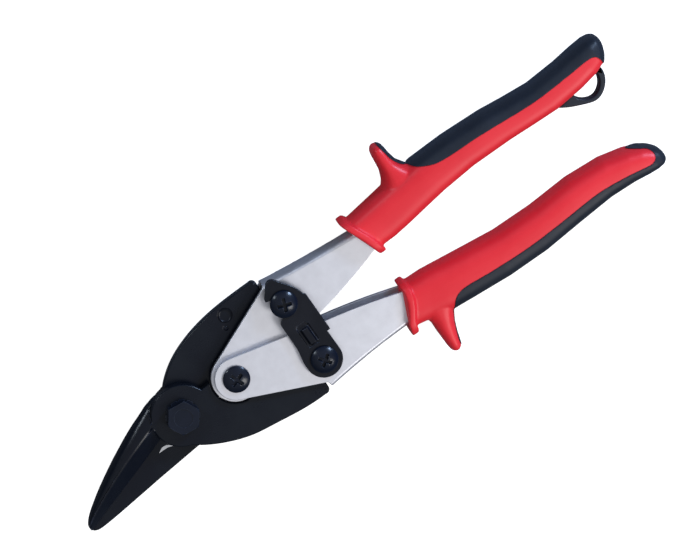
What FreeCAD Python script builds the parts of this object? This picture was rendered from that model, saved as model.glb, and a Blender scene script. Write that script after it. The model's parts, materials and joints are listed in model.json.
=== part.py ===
import FreeCAD, Part
import math
import os

# Aviation snips with offset jaws and compound leverage, closed and latched, lying on a flat face.
# X runs along the tool with the jaws towards -X, Z is up, and the finished part's jaw pivot is X = Y = 0.
# The underside of the jaw bolt's head is Z = 0. Heights below are given from the shear plane, and plan
# positions from a centre line between the grips, which passes a little beside the jaw pivot.

V = FreeCAD.Vector

# ---- driving dimensions, millimetres ---------------------------------------------------------
SHEAR_HEIGHT = 9.5                       # shear plane above the resting face
JAW_PIVOT = (-0.3, -1.1)
HANDLE_PIVOT = (23.3, -0.7)
LEFT_LINK = (53.3, -12.9)                # left handle to top blade
RIGHT_LINK = (52.8, 12.8)                # right handle to bottom blade

BLADE_FACE = 0.05                        # half the running gap in the shear plane
BLADE_TOP = 4.1                          # thickness of a blade's tail
BOSS_DEPTH = 4.6                         # thickness of the bottom blade's boss
TOP_BOSS_RADIUS = 11.6
BOTTOM_BOSS_RADIUS = 11.0
EYE_RADIUS = 6.2
SHEET = 1.8                              # handle sheet
BEND_RADIUS = 1.7                        # outer radius of the channel's folds
LEFT_NOSE = 7.9                          # radius of a channel's front end
RIGHT_NOSE = 9.0
NOSE_ROOM = 0.55                         # gap from a channel's front end to the blade beside it
RUN = 0.1                                # running gap between sliding faces
OUTER_PLATE = BLADE_TOP + RUN            # inner face of a channel's outer plate
OUTER_SKIN = OUTER_PLATE + SHEET
INNER_PLATE = OUTER_PLATE - RUN          # outer face of a channel's inner plate
INNER_SKIN = INNER_PLATE - SHEET
FIT = 0.05                               # radial clearance of a running fit
OPEN_FIT = 0.30                          # radial clearance of the open pivot

BOLT_RADIUS = 3.5
BOLT_HEAD_FLATS = 11.0
NUT_FLATS = 11.0
NUT_TOP = 7.4
NUT_SEAT = BLADE_TOP + 0.4
NUT_TURN = 55.0                          # where one corner of the nut points
BOLT_END = NUT_TOP - 0.25
LOCK_DISC_RADIUS = 6.3
HANDLE_SCREW_RADIUS = 3.0
HANDLE_HEAD_RADIUS = 5.0
HANDLE_HEAD_HEIGHT = 2.2
LINK_SCREW_RADIUS = 2.5
SMALL_NUT_FLATS = 7.5                    # link screws' nuts
LARGE_NUT_FLATS = 8.5                    # handle pivot screw's nut
SMALL_NUT_DEPTH = 2.2
BUSH_RADIUS = 4.0
SPACER_RADIUS = 4.4

LATCH_LOW = 6.4
LATCH_HIGH = 8.0
LATCH_END_RADIUS = 6.9
HEAD_SEAT = LATCH_HIGH + RUN / 2
DOME_RADIUS = 5.1
DOME_HEIGHT = 2.6

GRIP_HALF = 9.5                          # half the thickness of a grip
FLANGE_HALF = 9.5
TANG_END = 125.0

RECESS_WIDTH = 1.2                       # cross recesses
MARK_RADIUS = 2.4                        # hardness mark on the bottom blade
MARK_DEPTH = 0.3
POCKET_DEPTH = 0.55                      # pocket round the latch's thumb rib
TANG_WIDTH = 6.0
HORN_HALF = 5.5                          # half the thickness of a finger guard
CLEAR = 60.0                             # reach of a cutting solid past the object


# ---- helpers ---------------------------------------------------------------------------------
def plan(point, height=0.0):
    """A point over the plan position (x, y), at a height from the shear plane."""
    return V(point[0], point[1], SHEAR_HEIGHT + height)


def around(centre, radius, degrees):
    """The plan point at an angle on a circle."""
    angle = math.radians(degrees)
    return (centre[0] + radius * math.cos(angle), centre[1] + radius * math.sin(angle))


def arc(middle, end):
    return ("arc", middle, end)


def arc_about(centre, radius, first, last):
    """An arc step on a circle. The outline stands at its first angle already."""
    return arc(around(centre, radius, (first + last) / 2), around(centre, radius, last))


def curve(*points):
    return ("curve",) + points


def outline(start, *steps):
    """A closed plan face. A step is a point to draw a line to, an arc or a smooth curve."""
    edges = []
    here = plan(start)
    for step in steps:
        if step[0] == "arc":
            middle, end = plan(step[1]), plan(step[2])
            edges.append(Part.Arc(here, middle, end).toShape())
        elif step[0] == "curve":
            points = [here] + [plan(point) for point in step[1:]]
            spline = Part.BSplineCurve()
            spline.interpolate(points)
            edges.append(spline.toShape())
            end = points[-1]
        else:
            end = plan(step)
            edges.append(Part.LineSegment(here, end).toShape())
        here = end
    if here.distanceToPoint(plan(start)) > 1e-6:
        edges.append(Part.LineSegment(here, plan(start)).toShape())
    return Part.Face(Part.Wire(edges))


def slab(face, low, high):
    """A plan face as a solid between two heights."""
    solid = face.extrude(V(0, 0, high - low))
    solid.translate(V(0, 0, low))
    return solid


def post(centre, radius, low, high):
    """An upright round bar."""
    return Part.makeCylinder(radius, high - low, plan(centre, low), V(0, 0, 1))


def ring(centre, outer, inner, low, high):
    return post(centre, outer, low, high).cut(post(centre, inner, low - 1, high + 1))


def jaw_section(x, corners, back):
    """A closed cross-section at x: straight sides between corners, then a smooth back to the first one."""
    places = [plan((x, y), height) for y, height in corners]
    edges = [Part.LineSegment(a, b).toShape() for a, b in zip(places, places[1:])]
    spline = Part.BSplineCurve()
    spline.interpolate([places[-1]] + [plan((x, y), height) for y, height in back] + [places[0]])
    return Part.Wire(edges + [spline.toShape()])


def refined(rows):
    """A table's rows with two more between each pair, on a smooth curve through all of them."""
    padded = rows[:1] + rows + rows[-1:]
    result = []
    for before, first, last, after in zip(padded, padded[1:], padded[2:], padded[3:]):
        for t in (0, 1 / 3, 2 / 3):
            weights = ((-t + 2 * t ** 2 - t ** 3) / 2, (2 - 5 * t ** 2 + 3 * t ** 3) / 2,
                       (t + 4 * t ** 2 - 3 * t ** 3) / 2, (t ** 3 - t ** 2) / 2)
            corners = zip(before, first, last, after)
            result.append(tuple(sum(w * v for w, v in zip(weights, values)) for values in corners))
    return result + [rows[-1]]


def turned_over(shape):
    """The shape turned half a turn about the centre line, in the shear plane."""
    turned = shape.copy()
    turned.rotate(plan((0, 0)), V(1, 0, 0), 180)
    return turned


def turned_point(point):
    """Where a plan point must be drawn so that it lands on the given place when turned over."""
    return (point[0], -point[1])


def hexagon(centre, flats, low, high, turn=90.0):
    """A hexagonal head or nut with its corners chamfered on both faces."""
    radius = flats / math.sqrt(3)
    corners = [plan(around(centre, radius, turn + 60 * k)) for k in range(7)]
    prism = slab(Part.Face(Part.makePolygon(corners)), low, high)
    chamfer = 0.3                        # its height
    inset = 0.5
    up = V(0, 0, 1)
    middle = post(centre, radius, low + chamfer, high - chamfer)
    lower = Part.makeCone(radius - inset, radius, chamfer, plan(centre, low), up)
    upper = Part.makeCone(radius, radius - inset, chamfer, plan(centre, high - chamfer), up)
    return prism.common(middle.fuse([lower, upper]))


def cross_recess(centre, top, depth, length, turn):
    """The cutting solid of a cross recess."""
    arms = []
    for quarter in (0, 90):
        corner = plan((-length / 2, -RECESS_WIDTH / 2), top - depth)
        arm = Part.makeBox(length, RECESS_WIDTH, depth + 1, corner)
        arm.rotate(plan((0, 0)), V(0, 0, 1), turn + quarter)
        arm.translate(V(centre[0], centre[1], 0))
        arms.append(arm)
    return arms[0].fuse(arms[1])


def domed_head(centre, radius, seat, height):
    """A round head with a short straight rim under a dome."""
    rim = 0.7
    dome = height - rim
    edge, crown = (radius, seat + rim), (0.0, seat + height)
    ball = (radius ** 2 + dome ** 2) / (2 * dome)
    half = math.asin(radius / ball) / 2
    shoulder = (ball * math.sin(half), crown[1] - ball + ball * math.cos(half))
    corners = [(0.0, seat), (radius, seat), edge]
    points = [V(x, 0, z + SHEAR_HEIGHT) for x, z in corners]
    edges = [Part.LineSegment(points[0], points[1]).toShape()]
    edges.append(Part.LineSegment(points[1], points[2]).toShape())
    top, over = V(0, 0, crown[1] + SHEAR_HEIGHT), V(shoulder[0], 0, shoulder[1] + SHEAR_HEIGHT)
    edges.append(Part.Arc(points[2], over, top).toShape())
    edges.append(Part.LineSegment(top, points[0]).toShape())
    head = Part.Face(Part.Wire(edges)).revolve(V(0, 0, 0), V(0, 0, 1), 360)
    head.translate(V(centre[0], centre[1], 0))
    return head


def rounded_section(x, low, high, half):
    """A closed rounded cross-section of a grip at x, from y = low to y = high."""
    radius = 0.82 * min((high - low) / 2, half)
    bend = radius * (1 - math.sqrt(0.5))
    sides = []
    corners = []
    for sy, sz in ((1, 1), (-1, 1), (-1, -1), (1, -1)):
        y = high if sy > 0 else low
        first = plan((x, y), sz * (half - radius))
        middle = plan((x, y - sy * bend), sz * (half - bend))
        last = plan((x, y - sy * radius), sz * half)
        corners.append((first, middle, last) if sy * sz > 0 else (last, middle, first))
    for k in range(4):
        first, middle, last = corners[k]
        sides.append(Part.Arc(first, middle, last).toShape())
        sides.append(Part.LineSegment(last, corners[(k + 1) % 4][0]).toShape())
    return Part.Wire(sides)


def grip_body(stations):
    """A grip lofted through cross-sections (x, inner y, outer y, half thickness)."""
    wires = [rounded_section(x, min(a, b), max(a, b), half) for x, a, b, half in stations]
    return Part.makeLoft(wires, True, False)


def biggest(shape):
    return max(shape.Solids, key=lambda solid: solid.Volume)


# ---- blades ----------------------------------------------------------------------------------
TOP_TAIL = ((36, 25.0), (26, 23.7), (16, 22.1), (10, 20.1), (4, 17.3), (0, 14.9), (-3.5, 12.2))
BOTTOM_TAIL = ((36, 23.8), (26, 22.8), (16, 20.4), (10, 18.0), (4, 14.4), (0.5, 11.4), (-2.0, 8.6))


def tail(side, link, nose, back, corner):
    """The lever of a blade in plan, from the boss back to the eye at its link pivot.

    The side is 1 towards +Y. The back is the outline's outer curve, from the lever's end to the boss.
    """
    hollow = nose + NOSE_ROOM
    eye_start = around(link, EYE_RADIUS, -side * 99)
    eye_end = around(link, EYE_RADIUS, side * 112)
    step = 48.8                          # where the lever's broad end stops short of the eye
    return outline(
        around(JAW_PIVOT, BOTTOM_BOSS_RADIUS - 0.8, -side * 22),
        around(HANDLE_PIVOT, hollow, -side * 156),
        arc_about(HANDLE_PIVOT, hollow, side * 204, side * 98),
        eye_start,
        arc(around(link, EYE_RADIUS, side * 10), eye_end),
        (step, link[1] + side * EYE_RADIUS),
        (step, side * (corner - 1.8)),
        arc((step - 0.6, side * (corner - 0.4)), (step - 2.4, side * corner)),
        curve(*[(x, side * y) for x, y in back]),
    )


CUT_START = (-11.2, -4.4)
CUT_END = (-50.0, -17.6)
CUT_SLOPE = (CUT_END[1] - CUT_START[1]) / (CUT_END[0] - CUT_START[0])
OVERLAP = 0.8                            # how far the two cutting edges pass each other when closed


def cut_line(x):
    return CUT_START[1] + CUT_SLOPE * (x - CUT_START[0])


def top_jaw():
    """The upper jaw: a ground face rising from the cutting edge to a ridge, and a round back."""
    stations = ((3, 9.2, 3.6, 3.6), (-3, 10.6, 2.8, 3.7), (-8, 9.7, 2.3, 3.8),
                (-12, 8.2, 1.6, 4.2), (-20, 4.8, -1.0, 4.9), (-30, -0.3, -4.8, 4.7), (-40, -6.2, -9.4, 3.9),
                (-47, -11.0, -13.2, 3.0), (-50, -13.6, -15.4, 2.4), (-51.6, -15.7, -16.6, 1.6))
    wires = []
    for x, outer, ridge, height in refined(stations):
        cut = cut_line(x)
        corners = ((outer, BLADE_FACE), (cut, BLADE_FACE), (cut, 0.2 * height), (ridge, height))
        reach = outer - ridge
        back = [(ridge + 0.42 * reach, 0.93 * height), (ridge + 0.8 * reach, 0.64 * height)]
        wires.append(jaw_section(x, corners, back))
    return Part.makeLoft(wires, True, True)


def bottom_jaw():
    """The lower jaw: flat in the shear plane, with a round belly."""
    stations = ((-1, -14.9, 4.4), (-6, -15.4, 4.9), (-12, -16.0, 5.4), (-20, -16.8, 5.5), (-30, -17.95, 4.8),
                (-40, -19.05, 3.7), (-46.5, -19.6, 2.8), (-49.4, -19.5, 2.2), (-51.2, -18.6, 1.4))
    wires = []
    for x, outer, depth in refined(stations):
        cut = cut_line(x) + OVERLAP
        corners = ((outer, -0.3 * depth), (outer, -BLADE_FACE), (cut, -BLADE_FACE), (cut, -0.5 * depth))
        reach = outer - cut
        back = [(cut + 0.4 * reach, -0.97 * depth), (cut + 0.82 * reach, -0.8 * depth)]
        wires.append(jaw_section(x, corners, back))
    return Part.makeLoft(wires, True, True)


def top_blade():
    lever = tail(-1, LEFT_LINK, RIGHT_NOSE, TOP_TAIL, 25.3)
    blade = post(JAW_PIVOT, TOP_BOSS_RADIUS, BLADE_FACE, BLADE_TOP)
    blade = blade.fuse([slab(lever, BLADE_FACE, BLADE_TOP), top_jaw()])
    blade = blade.cut(post(JAW_PIVOT, BOLT_RADIUS + FIT, -CLEAR, CLEAR))
    blade = blade.cut(post(JAW_PIVOT, LOCK_DISC_RADIUS + 0.3, BLADE_TOP, CLEAR))
    blade = blade.cut(post(LEFT_LINK, LINK_SCREW_RADIUS + FIT, -CLEAR, CLEAR))
    return blade.removeSplitter()


def bottom_blade():
    mark = (33.0, 19.6)
    dent, dent_radius = (30.6, 15.4), 2.2
    lever = tail(1, RIGHT_LINK, LEFT_NOSE, BOTTOM_TAIL, 24.1)
    blade = post(JAW_PIVOT, BOTTOM_BOSS_RADIUS, -BOSS_DEPTH, -BLADE_FACE)
    blade = blade.fuse([slab(lever, -BLADE_TOP, -BLADE_FACE), bottom_jaw()])
    blade = blade.cut(post(JAW_PIVOT, BOLT_RADIUS + FIT, -CLEAR, CLEAR))
    blade = blade.cut(post(RIGHT_LINK, LINK_SCREW_RADIUS + OPEN_FIT, -CLEAR, CLEAR))
    blade = blade.cut(post(mark, MARK_RADIUS, -BLADE_FACE - MARK_DEPTH, CLEAR))
    blade = blade.cut(Part.makeSphere(dent_radius, plan(dent, dent_radius - BLADE_FACE - MARK_DEPTH)))
    return blade.removeSplitter()


# ---- jaw bolt --------------------------------------------------------------------------------
def pivot_bolt():
    head = hexagon(JAW_PIVOT, BOLT_HEAD_FLATS, -SHEAR_HEIGHT, -BOSS_DEPTH - RUN)
    bolt = head.fuse(post(JAW_PIVOT, BOLT_RADIUS, -SHEAR_HEIGHT + 1, BOLT_END))
    return bolt.removeSplitter()


def pivot_nut():
    nut = hexagon(JAW_PIVOT, NUT_FLATS, NUT_SEAT, NUT_TOP, NUT_TURN)
    return nut.cut(post(JAW_PIVOT, BOLT_RADIUS, NUT_SEAT - 1, NUT_TOP + 1))


def lock_disc():
    """A toothed disc between the nut and the boss."""
    disc = ring(JAW_PIVOT, LOCK_DISC_RADIUS, BOLT_RADIUS, BLADE_TOP, NUT_SEAT)
    notches = [post(around(JAW_PIVOT, LOCK_DISC_RADIUS, 15 + 30 * k), 0.5, NUT_SEAT - 1, NUT_SEAT + 1)
               for k in range(12)]
    return disc.cut(notches)


# ---- handle channels -------------------------------------------------------------------------
LEFT_CHANNEL = {
    "nose": LEFT_NOSE, "front": (50.2, -23.8), "outer": ((70.0, -21.8), (92.0, -21.1)), "tang_end": -22.8,
    "inner": ((96.0, -13.6), (92.6, -10.2), (91.0, -9.7), (76.0, -5.2), (62.0, -1.9)),
    "corner": (49.6, -21.4),
    "nose_angles": (77, 161, 247),
}
RIGHT_CHANNEL = {
    "nose": RIGHT_NOSE, "front": (50.2, 21.9), "outer": ((70.0, 19.6), (92.0, 17.9)), "tang_end": 21.8,
    "inner": ((96.0, 12.6), (92.6, 9.5), (91.0, 9.0), (76.0, 4.5), (62.0, 1.3)), "corner": (49.6, 20.9),
    "nose_angles": (-77, -161, -245),
}


def channel(shape, centre, place):
    """A U-channel pressed from sheet: two plates joined by a web on the outer side.

    It is made with its web towards -Y. The place function says where a named plan point is drawn.
    """
    start, over, below = [place(around(centre, shape["nose"], angle)) for angle in shape["nose_angles"]]
    front, corner = place(shape["front"]), place(shape["corner"])
    middle, end = [place(point) for point in shape["outer"]]
    inner = [place(point) for point in shape["inner"]]
    tang_outer = place((TANG_END, shape["tang_end"]))
    tang_inner = (TANG_END, tang_outer[1] + TANG_WIDTH)
    plan_face = outline(start, arc(over, below), corner, front, arc(middle, end), tang_outer, tang_inner,
                        *inner[:3], curve(*inner[3:]))
    body = slab(plan_face, -INNER_PLATE, OUTER_SKIN)
    body = body.makeFillet(BEND_RADIUS, [edge for edge in body.Edges if is_bend(edge)])
    raised = [(point[0], point[1] + SHEET) for point in (front, middle, end, tang_outer)]
    hollow = outline(
        (0, -CLEAR),
        (front[0], -CLEAR),
        raised[0],
        arc(raised[1], raised[2]),
        (TANG_END + 1, raised[3][1]),
        (TANG_END + 1, CLEAR),
        (0, CLEAR),
    )
    return body.cut(slab(hollow, -INNER_SKIN, OUTER_PLATE))


def is_bend(edge):
    """The long outer edges of the channel, where the sheet is folded."""
    middle = edge.BoundBox.Center
    flat = edge.BoundBox.ZLength < 1e-6
    return flat and middle.x > 60 and middle.y < -17 and edge.BoundBox.XLength > 20


def handle_frame_left():
    frame = channel(LEFT_CHANNEL, HANDLE_PIVOT, tuple)
    frame = frame.cut(post(HANDLE_PIVOT, HANDLE_SCREW_RADIUS, -CLEAR, CLEAR))
    return frame.cut(post(LEFT_LINK, LINK_SCREW_RADIUS, -CLEAR, CLEAR))


def handle_frame_right():
    frame = turned_over(channel(RIGHT_CHANNEL, HANDLE_PIVOT, turned_point))
    frame = frame.cut(post(HANDLE_PIVOT, HANDLE_SCREW_RADIUS + FIT, -CLEAR, CLEAR))
    return frame.cut(post(RIGHT_LINK, LINK_SCREW_RADIUS, -CLEAR, CLEAR))


# ---- screws, nuts, bushes and spacers --------------------------------------------------------
def handle_pivot_screw():
    top = OUTER_SKIN + HANDLE_HEAD_HEIGHT
    head = domed_head(HANDLE_PIVOT, HANDLE_HEAD_RADIUS, OUTER_SKIN, HANDLE_HEAD_HEIGHT)
    head = head.cut(cross_recess(HANDLE_PIVOT, top, depth=1.5, length=5.4, turn=20))
    end = -OUTER_SKIN - 1.6
    return head.fuse(post(HANDLE_PIVOT, HANDLE_SCREW_RADIUS, end, OUTER_SKIN + 0.1)).removeSplitter()


def link_screw(centre, end, turn):
    head = domed_head(centre, DOME_RADIUS, HEAD_SEAT, DOME_HEIGHT)
    head = head.cut(cross_recess(centre, HEAD_SEAT + DOME_HEIGHT, depth=1.7, length=5.2, turn=turn))
    return head.fuse(post(centre, LINK_SCREW_RADIUS, end, HEAD_SEAT + 0.1)).removeSplitter()


def plain_nut(centre, bore, flats, low, high):
    return hexagon(centre, flats, low, high).cut(post(centre, bore, low - 1, high + 1))


def spring_bush():
    return ring(HANDLE_PIVOT, BUSH_RADIUS, HANDLE_SCREW_RADIUS, -INNER_SKIN + RUN / 2, INNER_SKIN - RUN / 2)


def opening_spring():
    """A torsion spring round the bush, with a leg on each link spacer."""
    wire = 0.7
    coil = BUSH_RADIUS + wire + 0.15
    turns = [Part.makeTorus(coil, wire, plan(HANDLE_PIVOT, level), V(0, 0, 1)) for level in (-1.3, 0.0, 1.3)]
    spring = turns[0].fuse(turns[1:])
    for side, level in ((-1, -1.3), (1, 1.3)):
        start = plan((HANDLE_PIVOT[0], HANDLE_PIVOT[1] + side * coil), level)
        link = RIGHT_LINK if side > 0 else LEFT_LINK
        end = plan((link[0] - 1, link[1] - side * (SPACER_RADIUS + 0.1 + wire)), level)
        spring = spring.fuse(Part.makeCylinder(0.9 * wire, start.distanceToPoint(end), start, end - start))
    return spring.removeSplitter()


# ---- latch -----------------------------------------------------------------------------------
def latch_plate():
    """The latch: an eye on the left link screw, and a hook open towards the jaws round the right one."""
    pin = RIGHT_LINK
    room = LINK_SCREW_RADIUS + 0.3
    body = outline(
        (46.4, -12.2),
        arc(around(LEFT_LINK, LATCH_END_RADIUS, 270), around(LEFT_LINK, LATCH_END_RADIUS, 0)),
        (60.1, -4.8),
        (61.4, -4.8),
        (61.4, 11.2),
        (60.7, 11.8),
        arc((59.4, 15.4), (57.2, 18.8)),
        (54.9, 22.1),
        arc((53.3, 23.1), (51.5, 22.6)),
        (47.9, 18.1),
        (47.7, 17.0),
        around(pin, room, 70),
        arc(around(pin, room, 0), around(pin, room, 256)),
        (48.4, 7.9),
        (47.5, 6.8),
        (47.4, -3.0),
        curve((47.0, -6.6), (46.4, -10.0), (46.4, -12.2)),
    )
    plate = slab(body, LATCH_LOW, LATCH_HIGH)
    plate = plate.cut(post(LEFT_LINK, LINK_SCREW_RADIUS + FIT, -CLEAR, CLEAR))
    pocket = Part.makeBox(4.8, 9.4, CLEAR, plan((51.2, -6.4), LATCH_HIGH - POCKET_DEPTH))
    uprights = [edge for edge in pocket.Edges if edge.BoundBox.ZLength > 1]
    return plate.cut(pocket.makeFillet(1.2, uprights)).removeSplitter()


def latch_lug():
    """The raised thumb rib on the latch, standing in its pocket."""
    low, high = LATCH_HIGH - POCKET_DEPTH, LATCH_HIGH + 1.0
    start, length = -5.4, 6.4
    rib = [plan((x, start), height) for x, height in ((52.0, low), (55.4, low), (54.8, high), (52.6, high))]
    face = Part.Face(Part.makePolygon(rib + rib[:1]))
    return face.extrude(V(0, length, 0))


# ---- grips -----------------------------------------------------------------------------------
RIGHT_STATIONS = ((90, 8.0, 23.4, 8.1), (100, 9.0, 24.8, 8.4), (110, 10.6, 26.4, 8.8), (120, 12.1, 27.8, 9.3),
                  (134, 13.3, 28.0, GRIP_HALF), (150, 13.5, 27.4, GRIP_HALF), (170, 12.8, 25.5, 9.1),
                  (182, 13.9, 26.3, 9.0), (192, 16.0, 27.6, 8.8), (197.5, 18.4, 27.3, 7.4),
                  (200.2, 21.5, 26.0, 4.4))
LEFT_STATIONS = ((90, -7.8, -24.6, 8.1), (100, -9.4, -26.5, 8.5), (110, -10.5, -27.1, 8.9),
                 (126, -12.4, -28.2, GRIP_HALF), (142, -12.6, -28.2, GRIP_HALF), (158, -11.7, -26.8, 9.3),
                 (172, -12.5, -25.7, 9.1), (182, -14.7, -26.0, 9.0), (190, -17.6, -26.8, 8.6),
                 (194, -20.2, -26.6, 7.0), (195.9, -22.0, -25.4, 4.6))


def right_horn():
    """The finger guard of the right grip."""
    return outline(
        (104, 20),
        (104, 25.5),
        curve((107.4, 27.2), (108.6, 31.0), (109.3, 37.0)),
        arc((111.8, 40.4), (114.3, 37.0)),
        curve((115.4, 32.0), (118.4, 28.2), (122, 27.6)),
        (122, 20),
    )


def left_horn():
    """The finger guard of the left grip, close behind its flange."""
    return outline(
        (91, -20),
        (91, -24.5),
        curve((92.4, -27.0), (92.7, -32.0), (93.3, -37.5)),
        arc((94.9, -40.4), (97.0, -38.4)),
        curve((99.6, -31.5), (103.4, -26.9), (108, -26.6)),
        (108, -20),
    )


def right_soft_region():
    """Where the soft skin of the right grip lies in plan: its outer side and its end."""
    return outline(
        (114.6, 60),
        (114.8, 33.5),
        curve((116.2, 29.5), (121.0, 24.6), (130.0, 21.4), (150.0, 20.9), (168.0, 19.8), (184.0, 20.8),
              (192.5, 21.0), (195.2, 18.5), (195.8, 12.0)),
        (205, 0),
        (205, 60),
    )


def left_soft_region():
    """Where the soft skin of the left grip lies in plan: its outer side and its end."""
    return outline(
        (98.6, -60),
        (98.8, -35.5),
        curve((101.0, -30.0), (105.0, -25.2), (112.0, -24.3), (136.0, -24.9), (152.0, -24.4), (168.0, -23.1),
              (182.0, -23.8), (190.4, -23.4), (191.6, -19.6), (187.6, -15.8), (182.0, -12.0)),
        (180, 0),
        (205, 0),
        (205, -60),
    )


def flange(x_inner, x_outer, y_inner, y_outer, bow):
    """The collar at the mouth of a grip, bowed in plan."""
    thick = 2.8
    middle = ((x_inner + x_outer) / 2 + bow, (y_inner + y_outer) / 2)
    front = [(x_inner, y_inner), middle, (x_outer, y_outer)]
    back = [(x + thick, y) for x, y in reversed(front)]
    face = outline(front[0], curve(*front[1:]), back[0], curve(*back[1:]))
    body = slab(face, -FLANGE_HALF, FLANGE_HALF)
    rounded = grip_body(((70, y_inner, y_outer, FLANGE_HALF), (110, y_inner, y_outer, FLANGE_HALF)))
    return body.common(rounded)


def grip_pair(stations, horn, soft_region, collar, frame, nose_cut):
    """The hard core and the soft skin of one grip."""
    whole = grip_body(stations).fuse(slab(horn, -HORN_HALF, HORN_HALF))
    soft_tool = slab(soft_region, -CLEAR, CLEAR)
    soft = biggest(whole.common(soft_tool))
    core = whole.cut(soft_tool).cut(nose_cut).fuse(collar)
    core = biggest(core.cut(frame))
    return core, biggest(soft.cut(frame))


def front_of(x_inner, x_outer, y_inner, y_outer):
    """A cutting solid for what lies in front of a collar."""
    run = (x_outer - x_inner) / (y_outer - y_inner)
    low, high = -CLEAR, CLEAR
    near = (x_inner + run * (low - y_inner) + 1.4, low)
    far = (x_inner + run * (high - y_inner) + 1.4, high)
    face = outline((0, low), near, far, (0, high))
    return slab(face, -CLEAR, CLEAR)


RIGHT_COLLAR = (91.6, 84.8, 6.4, 24.6)
LEFT_COLLAR = (90.2, 84.4, -6.9, -26.0)


def hang_loop():
    """A flat loop on the inner side of the right grip's end."""
    half = 2.6
    outer = outline(
        (171.0, 15.0),
        curve((176.5, 10.9), (182.6, 8.0), (187.8, 6.7), (192.4, 9.1), (195.0, 16.0)),
        (192.6, 18.6),
        (176.0, 16.6),
    )
    inner = outline(
        (181.2, 13.3),
        curve((182.4, 10.8), (187.4, 8.6), (190.8, 10.6), (192.4, 15.1)),
        curve((190.0, 15.3), (181.2, 13.3)),
    )
    return slab(outer, -half, half).cut(slab(inner, -CLEAR, CLEAR))


# ---- assembly --------------------------------------------------------------------------------
def build():
    left_frame = handle_frame_left()
    right_frame = handle_frame_right()
    left_core, left_soft = grip_pair(LEFT_STATIONS, left_horn(), left_soft_region(),
                                     flange(*LEFT_COLLAR, 2.2), left_frame, front_of(*LEFT_COLLAR))
    right_core, right_soft = grip_pair(RIGHT_STATIONS, right_horn(), right_soft_region(),
                                       flange(*RIGHT_COLLAR, 1.0), right_frame, front_of(*RIGHT_COLLAR))
    right_whole = grip_body(RIGHT_STATIONS)
    nut_low = -OUTER_SKIN - SMALL_NUT_DEPTH
    small_nut = (LINK_SCREW_RADIUS, SMALL_NUT_FLATS)
    return {
        "top_blade": top_blade(),
        "bottom_blade": bottom_blade(),
        "pivot_bolt": pivot_bolt(),
        "pivot_nut": pivot_nut(),
        "pivot_lock_disc": lock_disc(),
        "left_handle_frame": left_frame,
        "right_handle_frame": right_frame,
        "handle_pivot_screw": handle_pivot_screw(),
        "handle_pivot_nut": plain_nut(HANDLE_PIVOT, HANDLE_SCREW_RADIUS, LARGE_NUT_FLATS, nut_low,
                                      -OUTER_SKIN - RUN),
        "left_link_screw": link_screw(LEFT_LINK, -INNER_PLATE - SMALL_NUT_DEPTH - 0.1, 35),
        "left_link_nut": plain_nut(LEFT_LINK, *small_nut, -INNER_PLATE - SMALL_NUT_DEPTH, -INNER_PLATE),
        "left_link_spacer": ring(LEFT_LINK, SPACER_RADIUS, LINK_SCREW_RADIUS, -INNER_SKIN, BLADE_FACE - RUN),
        "right_link_screw": link_screw(RIGHT_LINK, nut_low - 0.2, 70),
        "right_link_nut": plain_nut(RIGHT_LINK, *small_nut, nut_low, -OUTER_SKIN),
        "right_link_spacer": ring(RIGHT_LINK, SPACER_RADIUS, LINK_SCREW_RADIUS, RUN - BLADE_FACE, INNER_SKIN),
        "spring_bush": spring_bush(),
        "opening_spring": opening_spring(),
        "latch_plate": latch_plate().fuse(latch_lug()).removeSplitter(),
        "latch_washer": ring(LEFT_LINK, 5.2, LINK_SCREW_RADIUS, OUTER_SKIN, LATCH_LOW - RUN / 2),
        "left_grip_core": left_core,
        "left_grip_soft": left_soft,
        "right_grip_core": right_core,
        "right_grip_soft": right_soft,
        "hang_loop": hang_loop().cut(right_whole),
    }


os.makedirs("parts", exist_ok=True)
for name, shape in build().items():
    shape.translate(V(-JAW_PIVOT[0], -JAW_PIVOT[1], 0))
    shape.exportStep(os.path.join("parts", name + ".step"))
    print(f"{name:22s} solids {len(shape.Solids)} volume {shape.Volume:9.1f} valid {shape.isValid()}")
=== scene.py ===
import bmesh
import bpy
import json
import math
from mathutils import Matrix, Vector


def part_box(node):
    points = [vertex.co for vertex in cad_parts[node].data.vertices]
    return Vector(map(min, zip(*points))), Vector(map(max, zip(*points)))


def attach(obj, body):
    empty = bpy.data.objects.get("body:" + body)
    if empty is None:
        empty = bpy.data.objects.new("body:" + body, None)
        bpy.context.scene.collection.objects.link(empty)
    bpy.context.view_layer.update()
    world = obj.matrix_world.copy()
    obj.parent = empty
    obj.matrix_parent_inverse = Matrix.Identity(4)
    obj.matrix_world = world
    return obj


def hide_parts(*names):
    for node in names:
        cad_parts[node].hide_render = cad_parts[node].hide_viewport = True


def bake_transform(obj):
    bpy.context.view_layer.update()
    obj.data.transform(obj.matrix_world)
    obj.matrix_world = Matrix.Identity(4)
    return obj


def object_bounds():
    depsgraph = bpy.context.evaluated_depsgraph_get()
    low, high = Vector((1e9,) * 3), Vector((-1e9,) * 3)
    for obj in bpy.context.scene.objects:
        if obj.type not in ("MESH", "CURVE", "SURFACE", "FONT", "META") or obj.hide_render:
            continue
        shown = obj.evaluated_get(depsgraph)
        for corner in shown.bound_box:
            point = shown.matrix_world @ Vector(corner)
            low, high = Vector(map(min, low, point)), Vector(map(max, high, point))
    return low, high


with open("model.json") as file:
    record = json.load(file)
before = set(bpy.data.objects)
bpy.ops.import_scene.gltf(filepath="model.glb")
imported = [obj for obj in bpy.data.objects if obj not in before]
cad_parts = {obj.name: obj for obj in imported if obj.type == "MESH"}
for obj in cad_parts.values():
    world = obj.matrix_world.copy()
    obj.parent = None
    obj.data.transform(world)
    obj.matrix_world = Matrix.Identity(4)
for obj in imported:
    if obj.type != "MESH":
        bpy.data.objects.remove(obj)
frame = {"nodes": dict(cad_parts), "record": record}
cad_low, cad_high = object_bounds()

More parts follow.
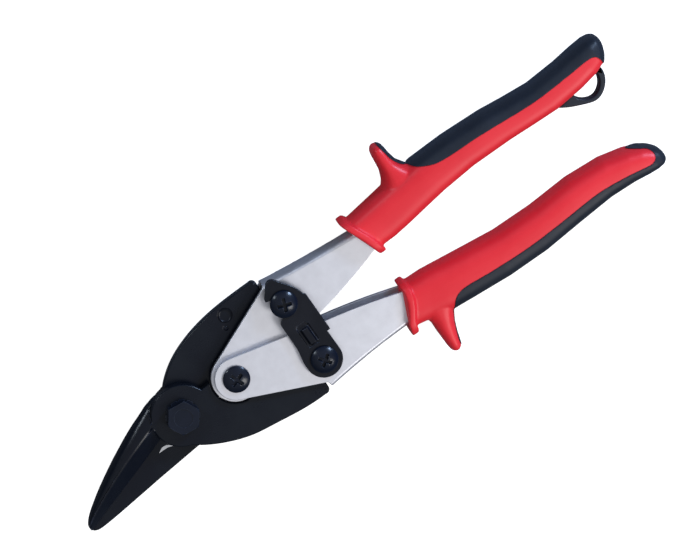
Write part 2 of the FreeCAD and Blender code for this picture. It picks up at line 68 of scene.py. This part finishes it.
MM = 0.001
X_AXIS, Y_AXIS = Vector((1, 0, 0)), Vector((0, 1, 0))


# ---- places read from the frame --------------------------------------------------------------
def node_centre(name):
    low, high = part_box(name)
    return (low + high) / 2


HANDLE_PIVOT = node_centre("spring_bush")
LEFT_LINK = node_centre("left_link_screw")
RIGHT_LINK = node_centre("right_link_screw")
SHEAR = HANDLE_PIVOT.z                  # height of the plane where the blades meet
CENTRE_LINE = Vector((0.3, 1.1, 0)) * MM  # start of the grips' centre line, beside the jaw pivot


def at(x, y, height=0.0):
    """A place in millimetres along and across the centre line, and above the shear plane."""
    return CENTRE_LINE + Vector((x * MM, y * MM, SHEAR + height * MM))


# ---- shader node groups ----------------------------------------------------------------------
class Tree:
    """A node tree with short calls for adding and joining its nodes."""

    def __init__(self, tree):
        self.tree = tree

    def add(self, kind, settings=(), **sockets):
        node = self.tree.nodes.new(kind)
        for key, value in dict(settings).items():
            setattr(node, key, value)
        for key, value in sockets.items():
            socket = node.inputs[key.replace("_", " ")]
            if isinstance(value, bpy.types.NodeSocket):
                self.tree.links.new(value, socket)
            else:
                socket.default_value = value
        return node

    def math(self, operation, first, second=0.0, clamp=False):
        node = self.tree.nodes.new("ShaderNodeMath")
        node.operation = operation
        node.use_clamp = clamp
        for socket, value in zip(node.inputs, (first, second)):
            self.put(value, socket)
        return node.outputs[0]

    def put(self, value, socket):
        if isinstance(value, bpy.types.NodeSocket):
            self.tree.links.new(value, socket)
        else:
            socket.default_value = value

    def mix(self, factor, first, second):
        """A colour mix."""
        node = self.tree.nodes.new("ShaderNodeMix")
        node.data_type = "RGBA"
        self.put(factor, node.inputs[0])
        self.put(first, node.inputs[6])
        self.put(second, node.inputs[7])
        return node.outputs[2]

    def spread(self, value, low, high, to_low, to_high):
        """A value's range moved to another range, clamped at both ends."""
        node = self.tree.nodes.new("ShaderNodeMapRange")
        for socket, number in zip(node.inputs, (value, low, high, to_low, to_high)):
            self.put(number, socket)
        return node.outputs[0]


def new_group(name, inputs, outputs):
    """A shader node group with named inputs and outputs. Returns its tree helper and both ends."""
    group = bpy.data.node_groups.new(name, "ShaderNodeTree")
    for label, kind, value in inputs:
        socket = group.interface.new_socket(label, in_out="INPUT", socket_type=kind)
        if value is not None:
            socket.default_value = value
    for label, kind in outputs:
        group.interface.new_socket(label, in_out="OUTPUT", socket_type=kind)
    tree = Tree(group)
    return tree, tree.add("NodeGroupInput").outputs, tree.add("NodeGroupOutput").inputs


def make_edge_group():
    """A mask of the rounded outer edges, broken up by noise, for where a coat has worn and for a painted
    highlight along the edges.
    """
    tree, given, result = new_group(
        "rubbed_and_highlit_edges",
        [("Radius", "NodeSocketFloat", 0.4 * MM), ("Amount", "NodeSocketFloat", 0.5)],
        [("Mask", "NodeSocketFloat")])
    place = tree.add("ShaderNodeTexCoord").outputs["Object"]
    soft = tree.add("ShaderNodeBevel", {"samples": 6}, Radius=given["Radius"])
    true = tree.add("ShaderNodeNewGeometry")
    dot = tree.add("ShaderNodeVectorMath", {"operation": "DOT_PRODUCT"})
    tree.put(soft.outputs[0], dot.inputs[0])
    tree.put(true.outputs["Normal"], dot.inputs[1])
    turn = tree.math("SUBTRACT", 1.0, dot.outputs["Value"])
    edge = tree.spread(turn, 0.01, 0.12, 0.0, 1.0)
    noise = tree.add("ShaderNodeTexNoise", Vector=place, Scale=420.0, Detail=4.0)
    broken = tree.spread(noise.outputs[0], 0.38, 0.62, 0.25, 1.0)
    rub_and_shine = tree.math("MULTIPLY", edge, broken)
    tree.put(tree.math("MULTIPLY", rub_and_shine, given["Amount"], True), result["Mask"])
    return tree.tree


def make_grain_group():
    """Fine surface grain as a bump normal, with a matching mask."""
    tree, given, result = new_group(
        "fine_grain",
        [("Scale", "NodeSocketFloat", 2500.0), ("Stretch", "NodeSocketVector", (1.0, 1.0, 1.0)),
         ("Strength", "NodeSocketFloat", 0.2), ("Depth", "NodeSocketFloat", 0.03 * MM)],
        [("Mask", "NodeSocketFloat"), ("Normal", "NodeSocketVector")])
    place = tree.add("ShaderNodeTexCoord").outputs["Object"]
    scaled = tree.add("ShaderNodeVectorMath", {"operation": "MULTIPLY"})
    tree.put(place, scaled.inputs[0])
    tree.put(given["Stretch"], scaled.inputs[1])
    noise = tree.add("ShaderNodeTexNoise", Vector=scaled.outputs[0], Scale=given["Scale"], Detail=5.0)
    bump = tree.add("ShaderNodeBump", Strength=given["Strength"], Distance=given["Depth"],
                    Height=noise.outputs[0])
    tree.put(noise.outputs[0], result["Mask"])
    tree.put(bump.outputs[0], result["Normal"])
    return tree.tree


def make_handling_group():
    """Broad soft patches of handling and dust."""
    tree, given, result = new_group(
        "handling", [("Scale", "NodeSocketFloat", 60.0), ("Low", "NodeSocketFloat", 0.0),
                     ("High", "NodeSocketFloat", 1.0)],
        [("Value", "NodeSocketFloat")])
    place = tree.add("ShaderNodeTexCoord").outputs["Object"]
    broad = tree.add("ShaderNodeTexNoise", Vector=place, Scale=given["Scale"], Detail=6.0, Roughness=0.6)
    tree.put(tree.spread(broad.outputs[0], 0.3, 0.7, given["Low"], given["High"]), result["Value"])
    return tree.tree


GROUPS = {
    "rubbed_and_highlit_edges": make_edge_group(),
    "fine_grain": make_grain_group(),
    "handling": make_handling_group(),
}


# ---- materials -------------------------------------------------------------------------------
def new_material(name, constants):
    """A material with a Principled shader whose constant sockets are set directly."""
    material = bpy.data.materials.new(name)
    material.use_nodes = True
    tree = Tree(material.node_tree)
    shader = material.node_tree.nodes["Principled BSDF"]
    for label, value in constants.items():
        shader.inputs[label].default_value = value
    return material, tree, shader


def use_group(tree, name, **sockets):
    node = tree.tree.nodes.new("ShaderNodeGroup")
    node.node_tree = GROUPS[name]
    for label, value in sockets.items():
        tree.put(value, node.inputs[label])
    return node.outputs


def finish_material(name, dark, light, rub_and_shine, rough, edge_band, grain, patches=60.0, **constants):
    """A finish from two close colours in soft patches, an edge colour for wear and painted edge highlights, a
    roughness range and a grain.
    """
    material, tree, shader = new_material(name, constants)
    patch = use_group(tree, "handling", Scale=patches)["Value"]
    edge = use_group(tree, "rubbed_and_highlit_edges", Radius=edge_band[0] * MM, Amount=edge_band[1])["Mask"]
    fine = use_group(tree, "fine_grain", Scale=grain[0], Stretch=grain[1], Strength=grain[2],
                     Depth=grain[3] * MM)
    base = tree.mix(patch, (*dark, 1), (*light, 1))
    # The edge colour paints wear and a painted highlight along the rounded edges.
    tree.put(tree.mix(edge, base, (*rub_and_shine, 1)), shader.inputs["Base Color"])
    mottled = tree.math("ADD", tree.math("MULTIPLY", patch, 0.7), tree.math("MULTIPLY", fine["Mask"], 0.3))
    tree.put(tree.spread(mottled, 0.2, 0.8, rough[0], rough[1]), shader.inputs["Roughness"])
    tree.put(fine["Normal"], shader.inputs["Normal"])
    return material


EVEN = (1.0, 1.0, 1.0)
# Each row's third colour goes on the rounded edges: wear, and a painted highlight where the edges catch the
# light.
MATERIALS = {
    "blade_steel": finish_material(
        "black_oxide_forging", (0.002, 0.003, 0.007), (0.004, 0.006, 0.010), (0.08, 0.09, 0.13),
        (0.22, 0.32), (0.35, 0.35), (1300.0, EVEN, 0.14, 0.03), 45.0,
        **{"Metallic": 0.0, "Specular IOR Level": 0.19}),
    "black_fastener": finish_material(
        "black_oxide_screw", (0.002, 0.004, 0.010), (0.004, 0.007, 0.016), (0.08, 0.10, 0.15),
        (0.20, 0.27), (0.25, 0.35), (2600.0, EVEN, 0.08, 0.02), 120.0,
        **{"Metallic": 0.0, "Specular IOR Level": 0.24}),
    # The latch's light bluish edge colour is mostly a painted highlight on its lit chamfers.
    "black_latch": finish_material(
        "black_coated_stamping", (0.002, 0.003, 0.006), (0.004, 0.005, 0.009), (0.16, 0.19, 0.27),
        (0.20, 0.28), (0.40, 0.6), (1900.0, EVEN, 0.12, 0.03), 90.0,
        **{"Metallic": 0.0, "Specular IOR Level": 0.22}),
    "handle_sheet": finish_material(
        "satin_plated_sheet", (0.56, 0.56, 0.60), (0.60, 0.60, 0.64), (0.80, 0.80, 0.84),
        (0.42, 0.47), (0.30, 0.5), (2400.0, (0.35, 1.0, 1.0), 0.22, 0.015), 260.0,
        **{"Metallic": 0.9}),
    "bright_steel": finish_material(
        "bright_steel", (0.45, 0.46, 0.48), (0.6, 0.6, 0.62), (0.8, 0.8, 0.8),
        (0.25, 0.4), (0.2, 0.4), (2000.0, EVEN, 0.15, 0.02), 150.0,
        **{"Metallic": 1.0}),
    "red_grip": finish_material(
        "red_moulded_plastic", (0.64, 0.015, 0.024), (0.72, 0.022, 0.032), (0.80, 0.07, 0.08),
        (0.40, 0.50), (0.6, 0.35), (2300.0, EVEN, 0.20, 0.05), 40.0,
        **{"Specular IOR Level": 0.32}),
    "black_grip": finish_material(
        "soft_black_skin", (0.004, 0.007, 0.013), (0.009, 0.013, 0.022), (0.03, 0.035, 0.05),
        (0.42, 0.56), (0.6, 0.4), (2100.0, EVEN, 0.30, 0.05), 50.0,
        **{"Specular IOR Level": 0.28, "Sheen Weight": 0.03, "Sheen Roughness": 0.4,
           "Sheen Tint": (0.45, 0.65, 1.0, 1.0)}),
}


def dress(piece, slot):
    """Gives a piece the finish of one of the record's material slots."""
    piece.data.materials.clear()
    piece.data.materials.append(MATERIALS[slot])


# ---- mesh helpers ----------------------------------------------------------------------------
def new_piece(name, bm, smooth=True):
    """A finished piece from a bmesh, at the origin."""
    mesh = bpy.data.meshes.new(name)
    bm.to_mesh(mesh)
    bm.free()
    piece = bpy.data.objects.new(name, mesh)
    bpy.context.scene.collection.objects.link(piece)
    for face in mesh.polygons:
        face.use_smooth = smooth
    return piece


def applied(piece):
    """The piece with its modifiers made part of its mesh."""
    graph = bpy.context.evaluated_depsgraph_get()
    mesh = bpy.data.meshes.new_from_object(piece.evaluated_get(graph))
    piece.modifiers.clear()
    old = piece.data
    piece.data = mesh
    bpy.data.meshes.remove(old)
    return piece


def round_section(half_y, half_z, power, count):
    """Offsets (y, z) of a closed rounded section, wound from +Y towards +Z."""
    points = []
    for k in range(count):
        angle = 2 * math.pi * k / count
        c, s = math.cos(angle), math.sin(angle)
        y = half_y * math.copysign(abs(c) ** (2 / power), c)
        z = half_z * math.copysign(abs(s) ** (2 / power), s)
        points.append((y, z))
    return points


def loft(bm, rings):
    """Extrudes one ring of vertices through a list of rings and closes both ends."""
    first = [bm.verts.new(p) for p in rings[0]]
    edges = [bm.edges.new((first[k], first[k - 1])) for k in range(len(first))]
    bmesh.ops.contextual_create(bm, geom=edges)
    for ring in rings[1:]:
        made = bmesh.ops.extrude_edge_only(bm, edges=edges)["geom"]
        edges = [item for item in made if isinstance(item, bmesh.types.BMEdge)]
        fresh = [item for item in made if isinstance(item, bmesh.types.BMVert)]
        for vert, place in zip(fresh, ring):
            vert.co = place
    bmesh.ops.contextual_create(bm, geom=edges)
    bmesh.ops.recalc_face_normals(bm, faces=bm.faces)


def smooth_line(points, divisions=6):
    """A smooth line through plan points, as many short steps."""
    rows = [Vector((*p, 0)) for p in points]
    rows = [2 * rows[0] - rows[1]] + rows + [2 * rows[-1] - rows[-2]]
    line = []
    for a, b, c, d in zip(rows, rows[1:], rows[2:], rows[3:]):
        for k in range(divisions):
            t = k / divisions
            p = 0.5 * ((2 * b) + (c - a) * t + (2 * a - 5 * b + 4 * c - d) * t * t
                       + (3 * b - a - 3 * c + d) * t * t * t)
            line.append((p.x, p.y))
    return line + [points[-1]]


def softened(node, name, width, slot, body, segments=2, sharp=25.0):
    """A copy of a CAD node with its sharp edges rounded, standing in for the node."""
    bm = bmesh.new()
    bm.from_mesh(frame["nodes"][node].data)
    bmesh.ops.remove_doubles(bm, verts=bm.verts, dist=0.0005 * MM)
    bmesh.ops.dissolve_limit(bm, angle_limit=math.radians(0.4), verts=bm.verts, edges=bm.edges)
    hard = [edge for edge in bm.edges if edge.is_manifold and edge.calc_face_angle() > math.radians(sharp)]
    bmesh.ops.bevel(bm, geom=hard, offset=width * MM, offset_type="OFFSET", segments=segments,
                    profile=0.5, affect="EDGES", clamp_overlap=False, material=-1)
    bmesh.ops.remove_doubles(bm, verts=bm.verts, dist=0.002 * MM)
    piece = new_piece(name, bm)
    piece.modifiers.new("even_shading", "WEIGHTED_NORMAL").keep_sharp = True
    dress(piece, slot)
    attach(piece, body)
    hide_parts(node)
    return piece


# ---- metal parts -----------------------------------------------------------------------------
BODY_OF = {node: body for body, members in frame["record"]["behaviour"]["bodies"].items() for node in members}
SLOT_OF = {row["node"]: row["material_slot"] for row in frame["record"]["subparts"]}
EDGE_ROUNDING = {
    "left_handle_frame": 0.22, "right_handle_frame": 0.22, "latch_plate": 0.28,
    "top_blade": 0.55, "bottom_blade": 0.55,
    "handle_pivot_screw": 0.16, "left_link_screw": 0.16, "right_link_screw": 0.16,
    "left_link_spacer": 0.12, "right_link_spacer": 0.12, "spring_bush": 0.12, "hang_loop": 0.7,
}
AS_PACKED = ("pivot_bolt", "pivot_nut", "pivot_lock_disc", "handle_pivot_nut", "left_link_nut",
             "right_link_nut", "latch_washer")


def make_metal_parts():
    for node, width in EDGE_ROUNDING.items():
        softened(node, node + "_finished", width, SLOT_OF[node], BODY_OF[node])
    for node in AS_PACKED:
        dress(frame["nodes"][node], SLOT_OF[node])


def make_throat_facet_and_highlight():
    """The bright crescent on the lower jaw's face in front of the boss: a thin bright steel patch, partly a
    ground facet and partly a painted highlight of the light caught on the top jaw's chamfer.
    """
    face_height, thick = -0.05, 0.03
    bm = bmesh.new()
    upper = smooth_line(((-15.3, -8.7), (-13.2, -7.6), (-11.2, -7.9), (-9.6, -9.4)))
    lower = smooth_line(((-9.6, -9.4), (-11.4, -8.8), (-13.2, -8.7), (-15.3, -8.7)))
    face = bm.faces.new([bm.verts.new(at(x, y, face_height)) for x, y in upper + lower[1:-1]])
    made = bmesh.ops.extrude_face_region(bm, geom=[face])["geom"]
    for item in made:
        if isinstance(item, bmesh.types.BMVert):
            item.co.z += thick * MM
    bmesh.ops.recalc_face_normals(bm, faces=bm.faces)
    piece = new_piece("throat_facet_and_highlight", bm, smooth=False)
    dress(piece, "bright_steel")
    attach(piece, "bottom_blade")


# ---- opening spring --------------------------------------------------------------------------
def make_spring():
    """A wire coil round the bush, with a leg to each link spacer."""
    wire, coil, rise = 0.62 * MM, 4.9 * MM, 2.6 * MM
    turns, steps = 2.5, 96
    beside_link = Vector((-1.0, 5.2, 0)) * MM   # from a link pivot to the end of a leg
    bm = bmesh.new()
    start = HANDLE_PIVOT + Vector((0, -coil, -rise / 2))
    turn = Matrix.Translation(start) @ Matrix.Rotation(math.pi / 2, 4, "Y")
    bmesh.ops.create_circle(bm, segments=12, radius=wire, matrix=turn)
    ring = list(bm.edges)
    leg_end = Vector((LEFT_LINK.x + beside_link.x, LEFT_LINK.y + beside_link.y, start.z))
    leg = bmesh.ops.extrude_edge_only(bm, edges=ring)["geom"]
    for item in leg:
        if isinstance(item, bmesh.types.BMVert):
            item.co += leg_end - start
    leg_edges = [item for item in leg if isinstance(item, bmesh.types.BMEdge)]
    bmesh.ops.contextual_create(bm, geom=leg_edges)
    spun = bmesh.ops.spin(bm, geom=ring, cent=HANDLE_PIVOT, axis=(0, 0, 1), dvec=(0, 0, rise / steps),
                          angle=-turns * 2 * math.pi, steps=steps)["geom_last"]
    last = [item for item in spun if isinstance(item, bmesh.types.BMEdge)]
    far = bmesh.ops.extrude_edge_only(bm, edges=last)["geom"]
    top_start = HANDLE_PIVOT + Vector((0, coil, rise / 2))
    far_end = Vector((RIGHT_LINK.x + beside_link.x, RIGHT_LINK.y - beside_link.y, top_start.z))
    for item in far:
        if isinstance(item, bmesh.types.BMVert):
            item.co += far_end - top_start
    bmesh.ops.contextual_create(bm, geom=[item for item in far if isinstance(item, bmesh.types.BMEdge)])
    bmesh.ops.recalc_face_normals(bm, faces=bm.faces)
    piece = new_piece("opening_spring_wire", bm)
    dress(piece, "bright_steel")
    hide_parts("opening_spring")
    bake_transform(piece)


# ---- grips -----------------------------------------------------------------------------------
# Each station is: along, inner side, outer side, half thickness, all in millimetres.
RIGHT_GRIP = ((87.5, 8.2, 22.9, 7.9), (95, 8.4, 24.0, 8.0), (102, 9.3, 25.0, 8.3), (110, 10.6, 26.2, 8.7),
              (120, 12.1, 27.6, 9.1), (134, 13.4, 28.0, 9.2), (150, 13.5, 27.4, 9.2), (160, 13.1, 26.3, 9.1),
              (170, 12.8, 25.5, 8.9), (182, 14.0, 26.3, 8.8), (190, 15.5, 27.4, 8.6),
              (195.2, 17.4, 27.9, 7.9), (197.9, 19.8, 27.6, 6.7), (199.4, 21.9, 26.7, 5.0),
              (199.9, 23.3, 25.6, 2.8))
LEFT_GRIP = ((86.5, -8.4, -23.6, 7.9), (95, -8.6, -25.2, 8.1), (102, -9.5, -26.5, 8.5),
             (110, -10.5, -27.1, 8.8), (126, -12.4, -28.2, 9.2), (142, -12.6, -28.2, 9.2),
             (158, -11.6, -26.8, 9.1),
             (172, -12.5, -25.7, 8.9), (182, -14.7, -26.0, 8.8), (188, -16.7, -26.8, 8.5),
             (192, -18.6, -27.1, 8.0), (194.6, -20.1, -26.9, 7.0), (196.0, -21.5, -26.1, 5.4),
             (196.5, -22.8, -25.2, 3.2))
# Each ring of a finger guard is: across, middle along, half length along, half thickness.
RIGHT_HORN = ((20, 113.0, 9.5, 7.6), (24.6, 112.7, 8.0, 7.6), (27.6, 112.3, 5.3, 7.2),
              (31.0, 111.8, 3.5, 6.7), (34.5, 111.6, 2.9, 6.4), (37.0, 111.6, 2.7, 6.1),
              (38.9, 111.6, 2.3, 5.6), (39.9, 111.6, 1.3, 4.4))
LEFT_HORN = ((-20, 98.8, 9.0, 7.6), (-23.6, 98.6, 6.9, 7.6), (-26.8, 97.4, 4.8, 7.2), (-30.5, 96.3, 3.8, 6.8),
             (-34.5, 95.6, 3.0, 6.4), (-37.8, 95.2, 2.5, 5.9), (-39.5, 95.1, 2.1, 5.2),
             (-40.3, 95.1, 1.2, 4.0))
RIGHT_COLLAR = ((6.4, 91.6), (10.2, 90.7), (15.0, 89.2), (19.8, 87.1), (24.6, 84.9))
LEFT_COLLAR = ((-6.9, 90.0), (-9.8, 90.4), (-14.0, 89.4), (-17.5, 87.5), (-20.5, 85.4), (-26.0, 84.2))
COLLAR_THICK = 2.9
COLLAR_HALF = 9.4
SKIN_PROUD = 0.22                       # how far the soft skin stands above the hard core
MELT_SIZE = 0.42                        # voxel size for melting a grip's shapes into one


def body_rings(stations, collar, count=48, power=3.1):
    """Cross-sections of a grip, the first ones slanted to follow the line of its collar."""
    rings = []
    for x, inner, outer, half in stations:
        middle, half_y = (inner + outer) / 2, abs(outer - inner) / 2
        section = round_section(half_y, half, power, count)
        rings.append([at(max(x, between(collar, middle + y) + x - stations[0][0] + 1.2), middle + y, z)
                      for y, z in section])
    return rings


def horn_rings(stations, count=28, power=2.4):
    rings = []
    for y, x, half_x, half in stations:
        rings.append([at(x + dx, y, z) for dx, z in round_section(half_x, half, power, count)])
    return rings


def between(table, value):
    """The second column of a short table, read between its rows by the first."""
    rows = sorted(table)
    value = min(max(value, rows[0][0]), rows[-1][0])
    for (a, first), (b, last) in zip(rows, rows[1:]):
        if value <= b:
            return first + (last - first) * (value - a) / (b - a)
    return rows[-1][1]


def collar_rings(line, count=48, power=3.6):
    """The flared collar at a grip's mouth: a plate bowed along its line in plan."""
    low, high = min(row[0] for row in line), max(row[0] for row in line)
    middle, half_y = (low + high) / 2, (high - low) / 2
    rings = []
    for forward, inset in ((0.0, 0.9), (0.05, 0.35), (0.35, 0.0), (COLLAR_THICK - 0.35, 0.0),
                           (COLLAR_THICK - 0.05, 0.3), (COLLAR_THICK, 0.9)):
        section = round_section(half_y - inset, COLLAR_HALF - inset, power, count)
        rings.append([at(between(line, middle + y) + forward, middle + y, z) for y, z in section])
    return rings


def whole_grip(name, stations, horn, collar):
    """Grip body, finger guard and collar melted into one moulded shape."""
    bm = bmesh.new()
    for rings in (body_rings(stations, collar), horn_rings(horn), collar_rings(collar)):
        part = bmesh.new()
        loft(part, rings)
        mesh = bpy.data.meshes.new("part")
        part.to_mesh(mesh)
        part.free()
        bm.from_mesh(mesh)
        bpy.data.meshes.remove(mesh)
    piece = new_piece(name, bm)
    remesh = piece.modifiers.new("melt", "REMESH")
    remesh.mode = "VOXEL"
    remesh.voxel_size = MELT_SIZE * MM
    smooth = piece.modifiers.new("smooth", "SMOOTH")
    smooth.factor, smooth.iterations = 0.5, 4
    return applied(piece)


def region(name, points, reach=40.0):
    """An upright cutting solid over a plan outline."""
    bm = bmesh.new()
    verts = [bm.verts.new(at(x, y, -reach)) for x, y in points]
    face = bm.faces.new(verts)
    made = bmesh.ops.extrude_face_region(bm, geom=[face])["geom"]
    for item in made:
        if isinstance(item, bmesh.types.BMVert):
            item.co.z += 2 * reach * MM
    bmesh.ops.recalc_face_normals(bm, faces=bm.faces)
    return new_piece(name, bm, smooth=False)


def cut_by(piece, cutter, operation):
    boolean = piece.modifiers.new("cut", "BOOLEAN")
    boolean.operation = operation
    boolean.solver = "EXACT"
    boolean.object = cutter
    return applied(piece)


def inflate(piece, amount):
    """Moves the surface outwards by an amount in millimetres."""
    bm = bmesh.new()
    bm.from_mesh(piece.data)
    bm.normal_update()
    for vert in bm.verts:
        vert.co += vert.normal * amount * MM
    bm.to_mesh(piece.data)
    bm.free()


RIGHT_SEAM = ((112.4, 44), (112.8, 39.4), (113.4, 36.4), (114.0, 33.4), (115.8, 29.8), (118.8, 27.0),
              (122.4, 25.0),
              (127.0, 23.4), (134.0, 22.9), (142.0, 22.8), (150.0, 22.4), (168.0, 21.3), (184.0, 22.1),
              (191.0, 22.6), (194.6, 22.0), (196.0, 19.6), (196.2, 16.4), (195.6, 10.0))
LEFT_SEAM = ((97.0, -46), (97.2, -38.0), (98.6, -33.6), (100.6, -29.4), (103.0, -24.8), (105.6, -21.9),
             (110.0, -20.8), (120.0, -21.5), (136.0, -22.1), (150.0, -21.6), (168.0, -20.5), (180.0, -21.5),
             (187.0, -22.7), (190.6, -23.2), (192.8, -22.3), (193.4, -20.2), (192.2, -18.0), (188.4, -15.7),
             (184.4, -13.9), (180.0, -12.2), (177.0, -9.0))


def make_grip(side, stations, horn, collar, seam, outside):
    """One grip as two mouldings: a hard red core and a soft black skin that stands a little proud."""
    body = side + "_handle"
    red = whole_grip(side + "_grip_red_core", stations, horn, collar)
    black = red.copy()
    black.data = red.data.copy()
    black.name = side + "_grip_black_skin"
    bpy.context.scene.collection.objects.link(black)
    inflate(black, SKIN_PROUD)
    cutter = region("seam", smooth_line(seam) + outside)
    cut_by(red, cutter, "DIFFERENCE")
    cut_by(black, cutter, "INTERSECT")
    bpy.data.objects.remove(cutter)
    mouldings = ((red, side + "_grip_core", "red_grip"), (black, side + "_grip_soft", "black_grip"))
    for piece, node, slot in mouldings:
        for face in piece.data.polygons:
            face.use_smooth = True
        dress(piece, slot)
        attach(piece, body)
        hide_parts(node)


# ---- stage, light and camera -----------------------------------------------------------------
def make_floor():
    """A plain pale floor, evenly bright to look at and dim in the tool's reflections."""
    bm = bmesh.new()
    bmesh.ops.create_grid(bm, x_segments=1, y_segments=1, size=3.0)
    bmesh.ops.translate(bm, verts=bm.verts, vec=(0, 0, cad_low.z - 0.05 * MM))
    floor = new_piece("floor", bm)
    material, tree, shader = new_material("pale_floor", {"Roughness": 0.9, "Specular IOR Level": 0.1})
    seen = tree.add("ShaderNodeLightPath").outputs["Is Camera Ray"]
    shade = use_group(tree, "handling", Scale=2.0, Low=0.40, High=0.42)["Value"]
    tree.put(tree.mix(seen, (0.16, 0.165, 0.18, 1), shade), shader.inputs["Base Color"])
    tree.put((1, 1, 1, 1), shader.inputs["Emission Color"])
    tree.put(tree.math("MULTIPLY", seen, 0.93), shader.inputs["Emission Strength"])
    floor.data.materials.append(material)


def make_light(name, offset, size, watts, colour):
    light = bpy.data.lights.new(name, "AREA")
    light.shape, light.size, light.energy, light.color = "DISK", size, watts, colour
    lamp = bpy.data.objects.new(name, light)
    middle = (cad_low + cad_high) / 2
    lamp.location = middle + Vector(offset)
    lamp.rotation_euler = (-Vector(offset)).to_track_quat("-Z", "Y").to_euler()
    bpy.context.scene.collection.objects.link(lamp)


def make_room():
    """A bright ceiling over a darker horizon, with a plain pale backdrop for the camera."""
    world = bpy.data.worlds.new("soft_room")
    world.use_nodes = True
    tree = Tree(world.node_tree)
    background = world.node_tree.nodes["Background"]
    direction = tree.add("ShaderNodeTexCoord").outputs["Generated"]
    height = tree.add("ShaderNodeSeparateXYZ", Vector=direction).outputs["Z"]
    ceiling = tree.spread(height, 0.25, 0.85, 0.0, 1.0)
    light = tree.mix(ceiling, (0.10, 0.13, 0.20, 1), (0.95, 0.97, 1.0, 1))
    seen = tree.add("ShaderNodeLightPath").outputs["Is Camera Ray"]
    tree.put(tree.mix(seen, light, (1.5, 1.5, 1.5, 1)), background.inputs["Color"])
    background.inputs["Strength"].default_value = 0.62
    bpy.context.scene.world = world


def make_lights():
    make_light("key", (0.35, -0.75, 0.85), 0.5, 7.5, (1.0, 0.985, 0.96))
    make_light("side", (1.05, 0.35, 0.55), 0.24, 15, (0.50, 0.68, 1.0))
    make_light("rim", (-0.45, 0.95, 0.6), 0.22, 3.5, (0.80, 0.90, 1.0))
    make_room()
    bpy.context.scene.view_settings.view_transform = "Standard"


def make_camera():
    """Nearly straight above, tilted a little towards the hang-loop side and rolled to lay the tool aslant."""
    tilt, roll = math.radians(16.0), math.radians(34.9)
    distance, width, sensor = 1.5, 0.2527, 36.0
    across = Vector((0, math.cos(tilt), -math.sin(tilt)))
    right = X_AXIS * math.cos(roll) - across * math.sin(roll)
    up = X_AXIS * math.sin(roll) + across * math.cos(roll)
    back = right.cross(up)
    data = bpy.data.cameras.new("camera")
    data.sensor_width, data.lens = sensor, sensor * distance / width
    camera = bpy.data.objects.new("camera", data)
    place = at(77.2, 3.7) + back * distance
    camera.matrix_world = Matrix.Translation(place) @ Matrix((right, up, back)).transposed().to_4x4()
    bpy.context.scene.collection.objects.link(camera)
    bpy.context.scene.camera = camera


make_camera()
make_lights()
make_floor()
make_metal_parts()
# The throat patch is partly a ground facet and partly a painted highlight.
make_throat_facet_and_highlight()
make_spring()
make_grip("right", RIGHT_GRIP, RIGHT_HORN, RIGHT_COLLAR, RIGHT_SEAM, [(215, 0), (215, 60), (112.4, 60)])
make_grip("left", LEFT_GRIP, LEFT_HORN, LEFT_COLLAR, LEFT_SEAM, [(177, 0), (215, 0), (215, -60), (97.0, -60)])
